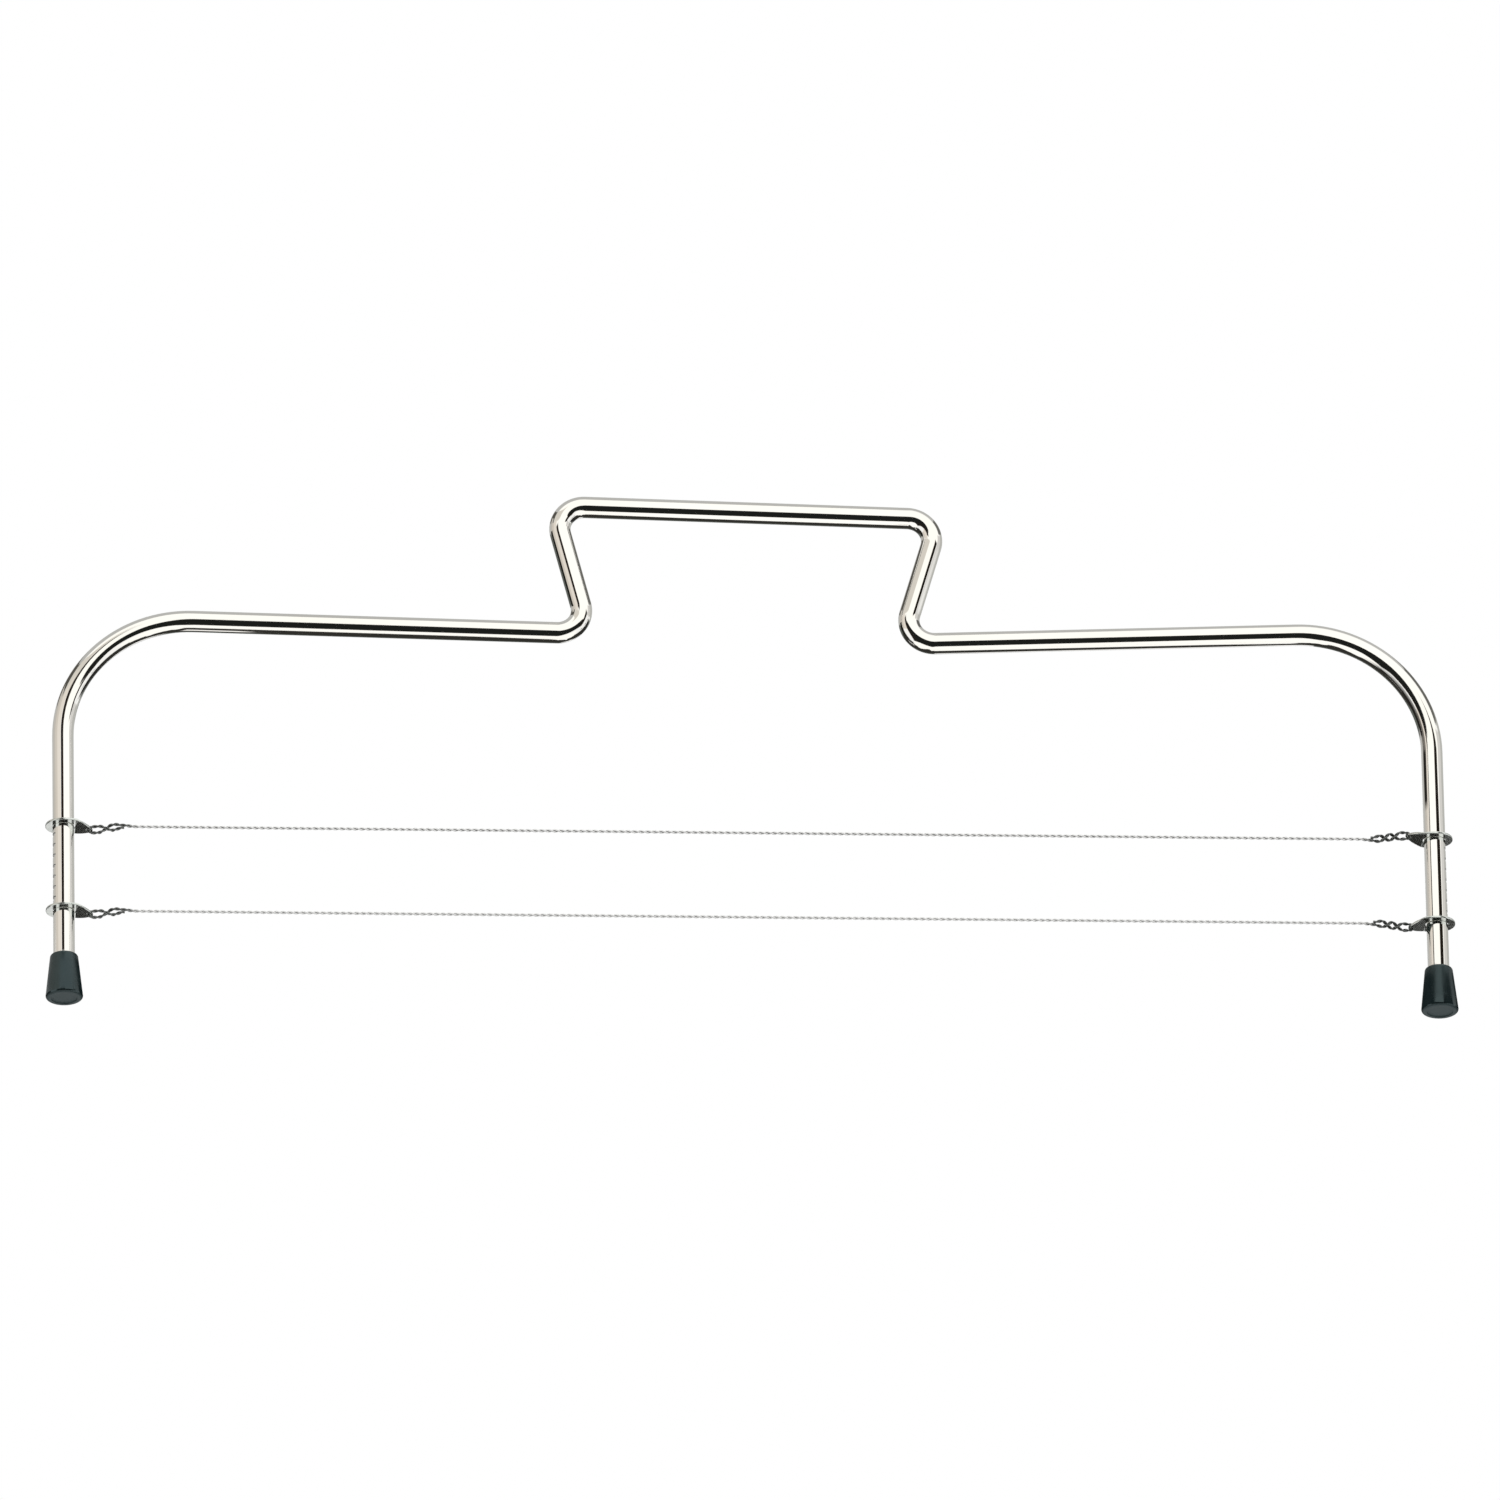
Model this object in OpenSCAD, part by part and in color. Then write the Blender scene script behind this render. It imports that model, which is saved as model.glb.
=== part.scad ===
/* [Frame rod] */
// Diameter of the bent steel rod
rod_d = 5; // [4:0.5:7]
// Distance between the centre lines of the two legs
leg_spacing = 320; // [240:5:420]
// Height at which the shoulder's centre line would meet the leg's
shoulder_h = 97.7; // [85:0.1:130]
// How much lower the shoulder is where it reaches the handle
shoulder_drop = 3.7; // [0:0.1:8]
// Height of the handle bar's centre line
handle_h = 126.7; // [118:0.1:150]
// Width of the handle between its upper corners, on the centre line
handle_w = 90.8; // [80:0.1:110]
// Width of the handle between its lower corners, on the centre line
throat_w = 73; // [60:0.1:78]
// Radius of the large bend between shoulder and leg, on the centre line
leg_bend_r = 30; // [16:1:34]
// Radius of the four tight bends of the handle, on the centre line
handle_bend_r = 5.8; // [5:0.1:8]
// Angle by which the handle sits out of level, right side down, as bent by hand
handle_lean = 1.5; // [0:0.1:2]
// How much thinner the rod is where it has been bent
bend_thinning = 0.02; // [0.02:0.01:0.2]

/* [Notches in the legs] */
// Height of the lowest notch
first_notch_h = 22.5; // [19:0.1:30]
// Number of notches in each leg
notch_count = 9; // [5:1:12]
// Distance from one notch to the next
notch_pitch = 2.7; // [2.7:0.1:3.2]
// Width of a notch on the rod's surface
notch_w = 0.8; // [0.6:0.1:1.2]
// Depth of a notch below the rod's surface
notch_depth = 0.4; // [0.2:0.05:0.6]

/* [Height plates] */
// Thickness of the plate
plate_t = 0.5; // [0.4:0.05:0.7]
// Metal outside the rod's surface, at the plate's round end
plate_rim = 1.7; // [1.4:0.1:2.5]
// How much wider the plate's hole is than the rod
hole_play = 0.3; // [0.2:0.1:1.2]
// Gap between the hole's outer edge and the leg, so that the plate slides
slide_gap = 0.05; // [0.02:0.01:0.1]
// Length of the tongue beyond the rod's surface
tongue_l = 4.3; // [3.8:0.1:6]
// Radius of the tongue's tip
tip_r = 0.6; // [0.4:0.1:0.9]
// Angle by which the tongue is bent down
tongue_bend = 14; // [0:1:25]
// Radius of that bend, on the middle of the sheet
tongue_bend_r = 1; // [0.6:0.1:2]
// Distance from the rod's surface to the start of the bend
bend_gap = 0.2; // [0:0.1:0.5]
// Metal between the eye and the tongue's tip
eye_rim = 0.4; // [0.3:0.05:0.6]
// Plates laid upside down, tongue up (1), among upper left, upper right, lower left, lower right
plate_flipped = [0, 1, 0, 0]; // [0:1:1]

/* [Cutting wires] */
// Diameter of one of the two strands
strand_d = 0.4; // [0.3:0.05:0.55]
// Length of one full turn of the strands
lay = 3.1; // [2.6:0.1:5]
// Gap between the wire and the rim of the eye that it passes through
eye_gap = 0.05; // [0.02:0.01:0.1]
// Length of the twisted end on the left and on the right
loop_l = [7.5, 8.4]; // [5:0.1:12]
// Full turns of the tail round the wire on the left and on the right
loop_turns = [0.75, 1.25]; // [0.5:0.25:2]
// Distance of wire and tail from their common middle, where they are twisted
loop_spread = 0.62; // [0.6:0.01:0.8]
// Length in which the wire runs back to the middle past the tail's end
settle_l = 2.5; // [1.5:0.1:4]

/* [Rubber feet] */
// Height of a foot
foot_h = 11; // [9:0.5:16]
// Thickness of the rubber around the rod at the top
foot_wall = 0.8; // [0.6:0.1:2]
// How far the base stands out beyond the top, all round
foot_flare = 1.05; // [0.5:0.05:3]
// Thickness of the rubber under the rod's end
foot_floor = 3; // [2:0.5:4]
// Rounding of the foot's edges
foot_edge_r = 0.7; // [0.3:0.1:0.8]
// Depth of the shallow recess in the foot's underside
foot_dish = 0.25; // [0.1:0.05:0.5]
// Width of the flat ring round that recess
foot_ring_w = 0.6; // [0.4:0.1:1]

/* [Hidden] */
rod_r = rod_d / 2;
leg_x = leg_spacing / 2;
bend_lap = 0.1;
wire_r = strand_d;
last_notch_h = first_notch_h + (notch_count - 1) * notch_pitch;

// Corners of the rod's centre line, as x and height, from left foot to right
throat_h = shoulder_h - shoulder_drop;
rod_corners = [
    [-leg_x, foot_floor],
    [-leg_x, shoulder_h],
    leaned([-throat_w / 2, throat_h]),
    leaned([-handle_w / 2, handle_h]),
    leaned([handle_w / 2, handle_h]),
    leaned([throat_w / 2, throat_h]),
    [leg_x, shoulder_h],
    [leg_x, foot_floor]
];
rod_bend_r = [0, leg_bend_r, handle_bend_r, handle_bend_r, handle_bend_r, handle_bend_r, leg_bend_r, 0];

// Plate: everything is measured from the leg's axis towards the other leg
hole_r = rod_r + hole_play / 2;
hole_u = hole_r - rod_r - slide_gap;
plate_r = rod_r + plate_rim;
tongue_reach = rod_r + tongue_l;
bend_u = rod_r + bend_gap;
// The tongue's long sides are arcs that run into the tip's circle
side_drop = (pow(tongue_reach - tip_r, 2) - pow(plate_r - tip_r, 2)) / (2 * (plate_r - tip_r));
side_r = side_drop + plate_r;
tip_angle = atan2(side_drop, tongue_reach - tip_r);
tip_u = tongue_reach - tip_r + tip_r * cos(tip_angle);

// Eye: the wire turns round the rim between the eye and the tip
turn_r = norm([eye_rim, plate_t]) / 2 + wire_r + eye_gap;
turn_u = tongue_reach - eye_rim / 2;
bend_end_u = bend_u + tongue_bend_r * sin(tongue_bend);
bend_end_w = -tongue_bend_r * (1 - cos(tongue_bend));
turn_w = bend_end_w - (turn_u - bend_end_u) * tan(tongue_bend);
eye_r = turn_r - eye_rim / 2;
eye_shift = eye_r + eye_rim / 2;
// 1 where the tongue drops, -1 where it rises
tongue_way = [for (f = plate_flipped) f > 0 ? -1 : 1];

// Wire: one ring of the sweep every fifth of a turn of the strands
rings_per_lay = 5;
ring_step = lay / rings_per_lay;
strand_outline = [[2, 0], [1, 1], [-1, 1], [-2, 0], [-1, -1], [1, -1]] * strand_d / 2;
outline_n = len(strand_outline);

cut = 1;
$fn = 64;

// Corner of the handle, turned about the handle's middle
function leaned(p) =
    let (rise = p[1] - (throat_h + handle_h) / 2)
    [
        p[0] * cos(handle_lean) + rise * sin(handle_lean),
        p[1] - rise + rise * cos(handle_lean) - p[0] * sin(handle_lean)
    ];

function unit(v) = v / norm(v);
function heading(a, b) = atan2(b[1] - a[1], b[0] - a[0]);
function turn_at(pts, i) =
    i == 0 || i == len(pts) - 1 ? 0 :
    let (t = heading(pts[i], pts[i + 1]) - heading(pts[i - 1], pts[i]))
    t > 180 ? t - 360 : t < -180 ? t + 360 : t;
function setback(pts, radii, i) = radii[i] * tan(abs(turn_at(pts, i)) / 2);

// Rod along a row of corners in the drawing plane, each corner rounded by its own radius.
// The straight stretches run a little way into the bends, which are thinner.
module bent_rod(pts, radii, d) {
    last = len(pts) - 1;
    for (i = [0 : last - 1]) {
        a = heading(pts[i], pts[i + 1]);
        from = setback(pts, radii, i) - (i > 0 ? bend_lap : 0);
        to = norm(pts[i + 1] - pts[i]) - setback(pts, radii, i + 1) + (i + 1 < last ? bend_lap : 0);
        translate(pts[i])
            rotate([0, 90, a])
                translate([0, 0, from])
                    cylinder(h = to - from, d = d);
    }
    for (i = [1 : last - 1]) {
        t = turn_at(pts, i);
        a = heading(pts[i - 1], pts[i]);
        side = sign(t);
        translate(pts[i])
            rotate(a)
                translate([-setback(pts, radii, i), side * radii[i]])
                    rotate(t > 0 ? -90 : 90 + t)
                        rotate_extrude(angle = abs(t), $fn = 128)
                            translate([radii[i], 0])
                                circle(d = d - bend_thinning);
    }
}

// Row of notches across the outer side of one leg, in the drawing plane
module notch_cutters(side) {
    reach = leg_x + rod_r + notch_w / 2 - notch_depth;
    for (i = [0 : notch_count - 1])
        translate([side * reach, first_notch_h + i * notch_pitch, 0])
            cylinder(h = rod_d + 2 * cut, d = notch_w, center = true, $fn = 32);
}

module frame_rod() {
    color("silver")
        rotate([90, 0, 0])
            difference() {
                bent_rod(rod_corners, rod_bend_r, rod_d);
                for (side = [-1, 1])
                    notch_cutters(side);
            }
}

// Points of a quarter circle from one angle to another
function quarter(centre, r, from, to) =
    [for (k = [0 : 4]) centre + r * [cos(from + (to - from) * k / 4), sin(from + (to - from) * k / 4)]];

// Half section of a foot: tapered sides, rounded edges, blind bore and a dished underside
module foot_section() {
    top_r = rod_r + foot_wall;
    base_r = top_r + foot_flare;
    top_edge_r = min(foot_edge_r, foot_wall * 0.9);
    dish_r = base_r - foot_edge_r - foot_ring_w;
    polygon(concat(
        [[0, foot_dish], [dish_r - foot_dish, foot_dish], [dish_r, 0]],
        quarter([base_r - foot_edge_r, foot_edge_r], foot_edge_r, -90, 0),
        quarter([top_r - top_edge_r, foot_h - top_edge_r], top_edge_r, 0, 90),
        [[rod_r, foot_h], [rod_r, foot_floor], [0, foot_floor]]
    ));
}

module foot(side) {
    color("dimgray")
        translate([side * leg_x, 0, 0])
            rotate_extrude()
                foot_section();
}

module left_foot() {
    foot(-1);
}

module right_foot() {
    foot(1);
}

// Outline of a plate seen from above, the leg's axis at the origin and the tongue towards +x
module plate_outline() {
    intersection() {
        circle(plate_r, $fn = 96);
        translate([-plate_r, -plate_r])
            square([plate_r, 2 * plate_r]);
    }
    intersection() {
        for_both_sides()
            translate([0, -side_drop])
                circle(side_r, $fn = 192);
        translate([0, -plate_r])
            square([tip_u, 2 * plate_r]);
    }
    translate([tongue_reach - tip_r, 0])
        circle(tip_r);
}

// What lies inside both a shape and its mirror image across the tongue's middle
module for_both_sides() {
    intersection() {
        children();
        mirror([0, 1])
            children();
    }
}

// Edge view of the sheet: flat round the leg, then bent down along the tongue
module sheet_profile() {
    translate([-plate_r - cut, -plate_t / 2])
        square([plate_r + cut + bend_u, plate_t]);
    translate([bend_u, -tongue_bend_r]) {
        intersection() {
            difference() {
                circle(tongue_bend_r + plate_t / 2);
                circle(tongue_bend_r - plate_t / 2);
            }
            polygon([[0, 0], [0, 3], 3 * [sin(tongue_bend), cos(tongue_bend)]] * tongue_bend_r);
        }
        rotate(-tongue_bend)
            translate([0, tongue_bend_r - plate_t / 2])
                square([tongue_reach, plate_t]);
    }
}

// Plate with its tongue pointing to +x, its flat part centred on height 0
module plate() {
    difference() {
        intersection() {
            translate([0, 0, -plate_r])
                linear_extrude(2 * plate_r)
                    plate_outline();
            rotate([90, 0, 0])
                linear_extrude(2 * plate_r + 2 * cut, center = true)
                    sheet_profile();
        }
        translate([hole_u, 0, -plate_r])
            cylinder(h = 2 * plate_r, r = hole_r);
        translate([turn_u, 0, turn_w])
            rotate([0, tongue_bend, 0])
                translate([-eye_shift, 0, -plate_r])
                    cylinder(h = 2 * plate_r, r = eye_r, $fn = 32);
    }
}

module plate_on_leg(side, height, way) {
    color("gainsboro")
        translate([side * leg_x, 0, height])
            rotate([way < 0 ? 180 : 0, 0, side < 0 ? 0 : 180])
                plate();
}

module upper_left_plate() {
    plate_on_leg(-1, last_notch_h, tongue_way[0]);
}

module upper_right_plate() {
    plate_on_leg(1, last_notch_h, tongue_way[1]);
}

module lower_left_plate() {
    plate_on_leg(-1, first_notch_h, tongue_way[2]);
}

module lower_right_plate() {
    plate_on_leg(1, first_notch_h, tongue_way[3]);
}

function ease(f) = f * f * (3 - 2 * f);
function path_steps(length) = max(3, ceil(length / ring_step));

// Middle of the wire, or with half = 180 of its tail, at share f of the twisted end
function loop_point(f, length, turns, way, half) =
    let (
        spread = turn_r + (loop_spread - turn_r) * ease(f),
        angle = half - 90 + 360 * turns * ease(f)
    )
    [turn_u + f * length, spread * cos(angle), way * turn_w * (1 - ease(f)) + spread * sin(angle)];

// One end of a wire, from the tail's cut end, through the eye, to where the wire runs straight
function end_path(length, turns, way) =
    let (
        twist_steps = path_steps(norm([length, 2 * PI * loop_spread * turns])),
        turn_steps = path_steps(PI * turn_r),
        settle_steps = path_steps(settle_l),
        leave = 360 * turns - 90
    )
    concat(
        [for (i = [twist_steps : -1 : 0]) loop_point(i / twist_steps, length, turns, way, 180)],
        [for (i = [1 : turn_steps - 1])
            let (a = 180 * i / turn_steps)
            [turn_u - turn_r * sin(a), 0, way * turn_w + turn_r * cos(a)]],
        [for (i = [0 : twist_steps]) loop_point(i / twist_steps, length, turns, way, 0)],
        [for (i = [1 : settle_steps])
            let (f = i / settle_steps, spread = loop_spread * (1 - ease(f)))
            [turn_u + length + f * settle_l, spread * cos(leave), spread * sin(leave)]]
    );

// Whole centre line of a wire, from the left tail to the right one, at height 0
function wire_path(ways) =
    let (
        left = [for (p = end_path(loop_l[0], loop_turns[0], ways[0])) [p[0] - leg_x, p[1], p[2]]],
        right = [for (p = end_path(loop_l[1], loop_turns[1], ways[1])) [leg_x - p[0], p[1], p[2]]],
        from = left[len(left) - 1],
        to = right[len(right) - 1],
        steps = path_steps(to[0] - from[0])
    )
    concat(
        left,
        [for (i = [1 : steps - 1]) from + (to - from) * i / steps],
        [for (i = [len(right) - 1 : -1 : 0]) right[i]]
    );

// Ring of the two-strand outline across the path at point i, turned on with each ring
function strand_ring(path, i) =
    let (
        ahead = path[min(i + 1, len(path) - 1)],
        behind = path[max(i - 1, 0)],
        along = unit(ahead - behind),
        up = unit(cross(along, [0, 1, 0])),
        across = cross(along, up),
        angle = 360 * i / rings_per_lay
    )
    [for (q = strand_outline)
        path[i] + up * (q[0] * cos(angle) - q[1] * sin(angle))
            + across * (q[0] * sin(angle) + q[1] * cos(angle))];

// Two strands twisted together along a path
module twisted_wire(path) {
    last = len(path) - 1;
    points = [for (i = [0 : last]) each strand_ring(path, i)];
    walls = [for (i = [0 : last - 1], j = [0 : outline_n - 1])
        let (
            a = i * outline_n + j,
            b = i * outline_n + (j + 1) % outline_n
        )
        each [[a, a + outline_n, b + outline_n], [a, b + outline_n, b]]];
    start_cap = [for (j = [0 : outline_n - 1]) j];
    end_cap = [for (j = [outline_n - 1 : -1 : 0]) last * outline_n + j];
    polyhedron(points, concat([start_cap], walls, [end_cap]));
}

module wire_at(height, ways) {
    color("lightgray")
        translate([0, 0, height])
            twisted_wire(wire_path(ways));
}

module upper_wire() {
    wire_at(last_notch_h, [tongue_way[0], tongue_way[1]]);
}

module lower_wire() {
    wire_at(first_notch_h, [tongue_way[2], tongue_way[3]]);
}

frame_rod();
left_foot();
right_foot();
upper_left_plate();
upper_right_plate();
lower_left_plate();
lower_right_plate();
upper_wire();
lower_wire();
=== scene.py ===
import bmesh
import bpy
import math
from mathutils import Matrix, Vector


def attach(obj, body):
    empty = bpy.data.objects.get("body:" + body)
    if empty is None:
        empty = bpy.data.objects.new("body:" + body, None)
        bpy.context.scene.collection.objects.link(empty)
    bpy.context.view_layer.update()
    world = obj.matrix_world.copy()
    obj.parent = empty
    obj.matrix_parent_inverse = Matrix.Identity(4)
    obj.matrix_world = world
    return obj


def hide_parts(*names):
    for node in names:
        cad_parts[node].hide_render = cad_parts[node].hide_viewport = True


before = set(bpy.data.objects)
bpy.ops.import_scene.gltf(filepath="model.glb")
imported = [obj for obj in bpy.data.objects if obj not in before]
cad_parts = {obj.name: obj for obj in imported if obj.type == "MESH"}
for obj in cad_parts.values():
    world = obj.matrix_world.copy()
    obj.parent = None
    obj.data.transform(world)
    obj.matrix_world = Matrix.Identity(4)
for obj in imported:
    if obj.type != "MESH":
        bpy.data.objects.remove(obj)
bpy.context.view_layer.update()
print("frame loaded:", sorted(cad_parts))


def pick(sockets, key):  # a socket by number, identifier or name
    if isinstance(key, int):
        return sockets[key]
    for socket in sockets:
        if socket.identifier == key:
            return socket
    return next(socket for socket in sockets if socket.name == key and socket.enabled)


class Signal:  # one socket of a node tree, usable in sums
    def __init__(self, tree, socket=None):
        self.tree, self.socket = tree, socket

    def node(self, kind, settings=None, sockets=None, out=0):
        made = self.tree.nodes.new(kind)
        for name, value in (settings or {}).items():
            setattr(made, name, value)
        for key, value in (sockets or {}).items():
            socket = pick(made.inputs, key)
            if isinstance(value, Signal):
                self.tree.links.new(value.socket, socket)
            else:
                socket.default_value = value
        return Signal(self.tree, pick(made.outputs, out)) if len(made.outputs) else None

    def also(self, out):  # another output of the same node
        return Signal(self.tree, pick(self.socket.node.outputs, out))

    def __add__(self, other):
        return self.node("ShaderNodeMath", {"operation": "ADD"}, {0: self, 1: other})

    def __sub__(self, other):
        return self.node("ShaderNodeMath", {"operation": "SUBTRACT"}, {0: self, 1: other})

    def __rsub__(self, other):
        return self.node("ShaderNodeMath", {"operation": "SUBTRACT"}, {0: other, 1: self})

    def __mul__(self, other):
        return self.node("ShaderNodeMath", {"operation": "MULTIPLY"}, {0: self, 1: other})

    def __truediv__(self, other):
        return self.node("ShaderNodeMath", {"operation": "DIVIDE"}, {0: self, 1: other})

    def __rtruediv__(self, other):
        return self.node("ShaderNodeMath", {"operation": "DIVIDE"}, {0: other, 1: self})

    __radd__ = __add__
    __rmul__ = __mul__


# Camera: below the object and a little to the left, looking up at it
camera = {
    "turn": 3.926,                   # degrees from straight in front
    "rise": 25.0,                    # degrees that the view points upwards
    "roll": -1.068,                  # degrees
    "distance": 5.7,                 # metres from the point that is looked at
    "target": (0, 0, 0.065),
    "aside": (0.000317, 0.000355),   # the middle of the picture from that point, right and up
    "pixelsPerMetre": 4286.8,        # at the target
    "pictureWidth": 1500,            # pixels
    "sensorWidth": 36,               # millimetres
    "clip": (0.05, 60),
}


def addObject(name, data):
    thing = bpy.data.objects.new(name, data)
    bpy.context.scene.collection.objects.link(thing)
    return thing


def placeCamera(c):
    turn, rise, roll = (math.radians(c[k]) for k in ("turn", "rise", "roll"))
    forward = Vector((
        math.sin(turn) * math.cos(rise),
        math.cos(turn) * math.cos(rise),
        math.sin(rise)))
    level = Vector((math.cos(turn), -math.sin(turn), 0))
    above = level.cross(forward)
    right = level * math.cos(roll) + above * math.sin(roll)
    up = above * math.cos(roll) - level * math.sin(roll)
    place = Vector(c["target"]) + right * c["aside"][0] + up * c["aside"][1] - forward * c["distance"]
    data = bpy.data.cameras.new("viewer")
    data.sensor_width = c["sensorWidth"]
    data.lens = c["sensorWidth"] * c["pixelsPerMetre"] * c["distance"] / c["pictureWidth"]
    data.clip_start, data.clip_end = c["clip"]
    viewer = addObject("viewer", data)
    viewer.matrix_world = Matrix((
        (right.x, up.x, -forward.x, place.x),
        (right.y, up.y, -forward.y, place.y),
        (right.z, up.z, -forward.z, place.z),
        (0, 0, 0, 1),
    ))
    bpy.context.scene.camera = viewer


placeCamera(camera)
print("camera placed")


def newMaterial(name):
    material = bpy.data.materials.new(name)
    material.use_nodes = True
    material.node_tree.nodes.clear()
    return material, Signal(material.node_tree)


def finishMaterial(start, shader):
    start.node("ShaderNodeOutputMaterial", {}, {"Surface": shader})


def principled(start, sockets):
    finishMaterial(start, start.node("ShaderNodeBsdfPrincipled", {}, sockets, "BSDF"))


def objectPlace(start):
    return start.node("ShaderNodeTexCoord", {}, {}, "Object")


def noise(start, place, pattern):
    moved = start.node("ShaderNodeMapping", {}, {"Vector": place, "Scale": pattern["stretch"]})
    return start.node("ShaderNodeTexNoise", {}, {
        "Vector": moved, "Scale": 1.0, "Detail": pattern["detail"],
        "Roughness": pattern["rough"]}, "Fac")


def mathOf(start, operation, *values):  # for what the operators don't cover
    return start.node("ShaderNodeMath", {"operation": operation}, dict(enumerate(values)))


def blend(start, share, first, second):
    return start.node("ShaderNodeMix", {"data_type": "RGBA"}, {
        "Factor_Float": share, "A_Color": first, "B_Color": second}, "Result_Color")


def spread(start, value, span, to=(0.0, 1.0)):
    return start.node("ShaderNodeMapRange", {}, {
        "Value": value, "From Min": span[0], "From Max": span[1], "To Min": to[0], "To Max": to[1]})


def bump(start, height, relief):
    return start.node("ShaderNodeBump", {}, {
        "Height": height, "Strength": relief["strength"], "Distance": relief["depth"]})


def attribute(start, name, out="Vector"):
    return start.node("ShaderNodeAttribute", {"attribute_name": name}, {}, out)


polish = {
    "bright": (0.95, 0.94, 0.905, 1),   # nickel under thin chrome, a little warm
    "cloudy": (0.9, 0.885, 0.84, 1),
    "roughness": (0.03, 0.09),
    # fine lines from drawing, along the rod
    "grain": {"stretch": (900, 900, 14), "detail": 4, "rough": 0.6},
    "cloud": {"stretch": (60, 60, 25), "detail": 3, "rough": 0.55},
    # how the tumbled surface waves
    "ripple": {"stretch": (170, 170, 45), "detail": 2, "rough": 0.4},
    "grainShare": 0.6,                  # of what dulls the rod, and the rest is cloud
    "contrast": (0.35, 0.7),
    "grainRelief": 0.15,
    "relief": {"strength": 0.25, "depth": 0.00003},
    "bareCut": (0.74, 0.73, 0.71, 1),   # inside the notches, left rough by the file
    "cutRoughness": 0.5,
    "cutMetal": 0.1,                    # how metallic they look
}


def polishedRod(p):
    material, start = newMaterial("polishedRod")
    place = attribute(start, "rodPlace")
    grain, cloud, ripple = (noise(start, place, p[k]) for k in ("grain", "cloud", "ripple"))
    both = grain * p["grainShare"] + cloud * (1 - p["grainShare"])
    dull = spread(start, both, p["contrast"])
    cut = attribute(start, "cut", "Fac")
    colour = blend(start, spread(start, cloud, p["contrast"]), p["bright"], p["cloudy"])
    colour = blend(start, cut, colour, p["bareCut"])
    rough = spread(start, dull, (0, 1), p["roughness"])
    rough = rough * (1 - cut) + cut * p["cutRoughness"]
    principled(start, {
        "Base Color": colour,
        "Metallic": 1 - cut * (1 - p["cutMetal"]),
        "Roughness": rough,
        "Normal": bump(start, ripple + grain * p["grainRelief"], p["relief"]),
    })
    return material


dullPlate = {
    "bright": (0.76, 0.79, 0.765, 1),
    "cloudy": (0.62, 0.66, 0.635, 1),
    "roughness": (0.13, 0.27),
    "mottle": {"stretch": (900, 900, 900), "detail": 4, "rough": 0.6},
    # the sheet's rolling lines
    "rolling": {"stretch": (4500, 350, 4500), "detail": 3, "rough": 0.5},
    "mottleShare": 0.6,                 # the rest is rolling
    "colourContrast": (0.35, 0.68),
    "dullContrast": (0.3, 0.7),
    "relief": {"strength": 0.12, "depth": 0.00002},
}


def stampedPlate(p):
    material, start = newMaterial("stampedPlate")
    place = objectPlace(start)
    mottle, rolling = (noise(start, place, p[k]) for k in ("mottle", "rolling"))
    both = mottle * p["mottleShare"] + rolling * (1 - p["mottleShare"])
    principled(start, {
        "Base Color": blend(start, spread(start, both, p["colourContrast"]), p["bright"], p["cloudy"]),
        "Metallic": 1.0,
        "Roughness": spread(start, both, p["dullContrast"], p["roughness"]),
        "Normal": bump(start, both, p["relief"]),
    })
    return material


drawnWire = {
    "bright": (0.97, 0.97, 0.955, 1),
    "groove": (0.03, 0.03, 0.028, 1),   # painted shade between the strands
    "grooveShadeEdge": (0.42, 0.58),           # from bright strand to the painted shade in the groove
    "grooveShadeUnevenness": 0.2,
    "roughness": (0.48, 0.14),          # scoured by cutting, and as drawn at the wrung ends
    "scoured": 0.15,                    # how metallic its straight run still looks
    "wrungEndColour": (0.22, 0.23, 0.225, 1),  # the wrung ends, coloured darker
    "wrungEndSpan": (0.1425, 0.1455),      # from the middle, metres
    "speck": {"stretch": (3000, 3000, 3000), "detail": 3, "rough": 0.6},
    "speckMean": 0.5,                   # of the noise, so that specks darken and lighten alike
    "relief": {"strength": 0.2, "depth": 0.00001},
}


def strandMetal(p):
    material, start = newMaterial("strandMetal")
    place = objectPlace(start)
    speck = noise(start, place, p["speck"])
    # Painted shade: the strands get darker deeper in the groove between them
    deep = attribute(start, "groove", "Fac") - attribute(start, "grooveShadeShift", "Fac")
    grooveShade = spread(start, deep + (speck - p["speckMean"]) * p["grooveShadeUnevenness"], p["grooveShadeEdge"])
    x = start.node("ShaderNodeSeparateXYZ", {}, {0: place}, "X")
    # The wrung ends are coloured darker than the straight run
    ends = spread(start, mathOf(start, "ABSOLUTE", x), p["wrungEndSpan"])
    strand = blend(start, ends, p["bright"], p["wrungEndColour"])
    principled(start, {
        "Base Color": blend(start, grooveShade, strand, p["groove"]),
        "Metallic": ends * (1 - p["scoured"]) + p["scoured"],
        "Roughness": spread(start, ends, (0, 1), p["roughness"]),
        "Normal": bump(start, speck, p["relief"]),
    })
    return material


rubber = {
    "body": (0.0085, 0.015, 0.016, 1),
    "worn": (0.022, 0.03, 0.031, 1),
    "mostWorn": 0.5,                    # share of the worn colour where it shows most
    "roughness": (0.25, 0.36),
    "glossyEdge": (0.001, 0.003),       # metres up: the mould is smoothest at the rounded edge
    "edgeGloss": 0.35,                  # of the roughness is left there
    "wornRoughness": 0.6,
    "wornHeight": (0.00026, 0.00034),   # metres up: the ring and its recess
    "shine": (0.72, 0.96, 1.0, 1),
    "shineLevel": 0.72,
    "grain": {"stretch": (5200, 5200, 5200), "detail": 3, "rough": 0.6},
    "bloom": {"stretch": (420, 420, 420), "detail": 4, "rough": 0.6},
    "bloomContrast": (0.42, 0.8),
    "grainShare": 0.5,                  # of what dulls the rubber, and the rest is bloom
    "dullContrast": (0.3, 0.7),
    "bloomRelief": 0.5,
    "relief": {"strength": 0.15, "depth": 0.00003},
}


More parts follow.
